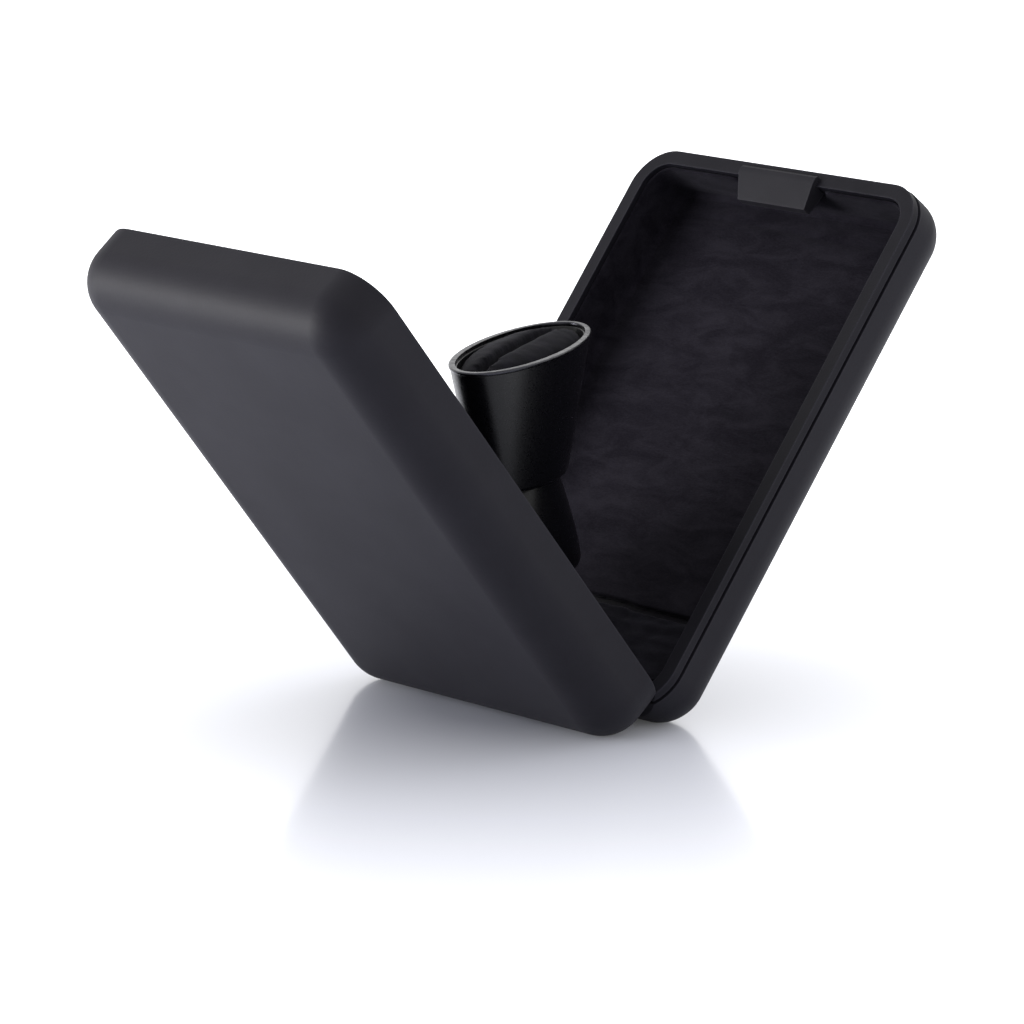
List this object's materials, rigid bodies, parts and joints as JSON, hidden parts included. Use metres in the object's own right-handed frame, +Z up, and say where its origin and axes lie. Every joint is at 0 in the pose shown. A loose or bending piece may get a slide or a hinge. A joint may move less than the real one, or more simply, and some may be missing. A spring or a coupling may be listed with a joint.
{
  "type": "ring display box",
  "caption": "Slim ring display box: lined halves open into a V on a shared hinge while bevel gears turn the ring cup that stands between them.",
  "frame": {"origin": "bottom centre of the bounding box of the opened box, on the surface it stands on", "axes": "+X along the hinge, +Y from the front half to the rear half that carries the catch tab, +Z up"},
  "size_m": [0.064, 0.127, 0.0786],
  "materials": {
    "leatherette": "fine-grained matte leatherette wrapped over a moulded core",
    "rim_wrap": "smooth matte leatherette wrapped over a thin frame",
    "suede": "near-black short-nap suede cloth over board or foam",
    "velvet": "near-black velvet over foam",
    "lacquer": "near-black satin lacquer",
    "gunmetal": "dark plated line",
    "steel": "plain zinc-plated steel",
    "bronze": "plain bearing bronze",
    "nylon": "natural moulded nylon"
  },
  "bodies": {
    "carrier": {"hinge_rod": "steel", "rod_clips": "steel", "friction_washers": "bronze", "gear_housing": "suede", "spindle_bush": "bronze", "thrust_washer": "nylon"},
    "front_half": {"front_shell": "leatherette", "front_rim_frame": "rim_wrap", "front_wall_lining": "suede", "front_floor_pad": "suede", "front_hinge_ramp": "suede", "front_hinge_plate": "steel", "front_plate_screws": "steel", "front_gear_sector": "nylon", "front_keeper": "steel"},
    "rear_half": {"rear_shell": "leatherette", "rear_rim_frame": "rim_wrap", "rear_wall_lining": "suede", "rear_floor_pad": "suede", "rear_hinge_ramp": "suede", "rear_hinge_plate": "steel", "rear_plate_screws": "steel", "rear_gear_sector": "nylon", "catch_tab": "leatherette", "catch_magnet": "steel"},
    "ring_holder": {"spindle": "steel", "drive_pinion": "nylon", "pinion_clip": "steel", "pedestal": "lacquer", "cup_shell": "lacquer", "cup_rim_trim": "gunmetal", "ring_pad_front": "velvet", "ring_pad_back": "velvet", "cup_screw": "steel"}
  },
  "joints": [
    {"name": "front_open", "type": "hinge", "parent": "carrier", "child": "front_half", "pos_m": [0, 0.00004, 0.00651], "axis": [1, 0, 0], "range_deg": [-38.5, 17.75]},
    {"name": "rear_open", "type": "hinge", "parent": "carrier", "child": "rear_half", "pos_m": [0, 0.00004, 0.00651], "axis": [-1, 0, 0], "range_deg": [-38.5, 17.75]},
    {"name": "holder_turn", "type": "hinge", "parent": "carrier", "child": "ring_holder", "pos_m": [0, 0.00004, 0.00651], "axis": [0, 0, -1], "range_deg": [-61.7, 28.5]}
  ],
  "couplings": [
    {"joint": "rear_open", "follows": "front_open", "ratio": 1},
    {"joint": "holder_turn", "follows": "front_open", "ratio": 1.6}
  ]
}
